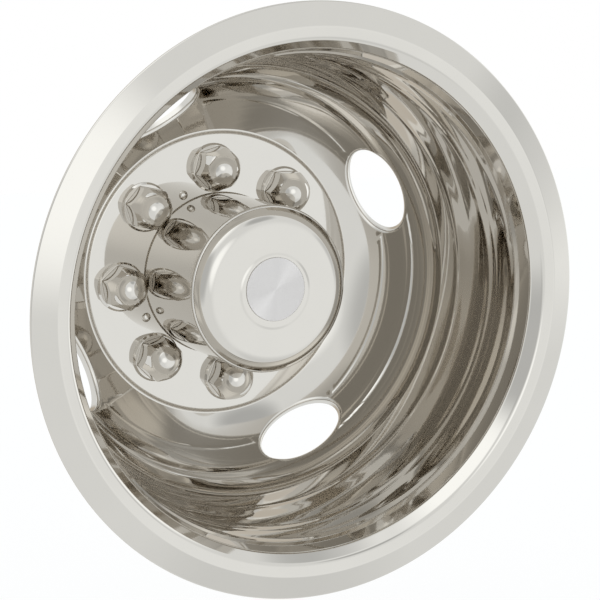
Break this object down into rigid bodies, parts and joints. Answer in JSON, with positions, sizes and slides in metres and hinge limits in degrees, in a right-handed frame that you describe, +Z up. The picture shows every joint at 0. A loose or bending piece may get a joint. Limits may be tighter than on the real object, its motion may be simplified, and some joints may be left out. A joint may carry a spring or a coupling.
{
  "type": "truck wheel simulator",
  "caption": "Deep polished stainless cover for the outer wheel of a dual rear pair, with a rolled lip, oval hand holes, a domed hub can and hex acorn nut covers.",
  "frame": {"origin": "centre of the lug circle at the plate's back face", "axes": "+Y along the wheel's axis towards the wheel behind, -Y out of the open face, +Z up"},
  "size_m": [0.4224, 0.1767, 0.4224],
  "materials": {
    "polished_sheet": "mirror polished",
    "plated_cover": "mirror polished",
    "brushed_disc": "spun satin",
    "rivet_steel": "bright",
    "spring_steel": "plain"
  },
  "bodies": {
    "root": {"dish_liner": "polished_sheet", "hub_can": "polished_sheet", "hub_dome_cap": "polished_sheet", "emblem_disc": "brushed_disc", "hub_rivets": "rivet_steel", "lug_nut_cover_1": "plated_cover", "lug_nut_cover_2": "plated_cover", "lug_nut_cover_3": "plated_cover", "lug_nut_cover_4": "plated_cover", "lug_nut_cover_5": "plated_cover", "lug_nut_cover_6": "plated_cover", "lug_nut_cover_7": "plated_cover", "lug_nut_cover_8": "plated_cover", "lug_clip_1": "spring_steel", "lug_clip_2": "spring_steel", "lug_clip_3": "spring_steel", "lug_clip_4": "spring_steel", "lug_clip_5": "spring_steel", "lug_clip_6": "spring_steel", "lug_clip_7": "spring_steel", "lug_clip_8": "spring_steel"}
  },
  "joints": []
}
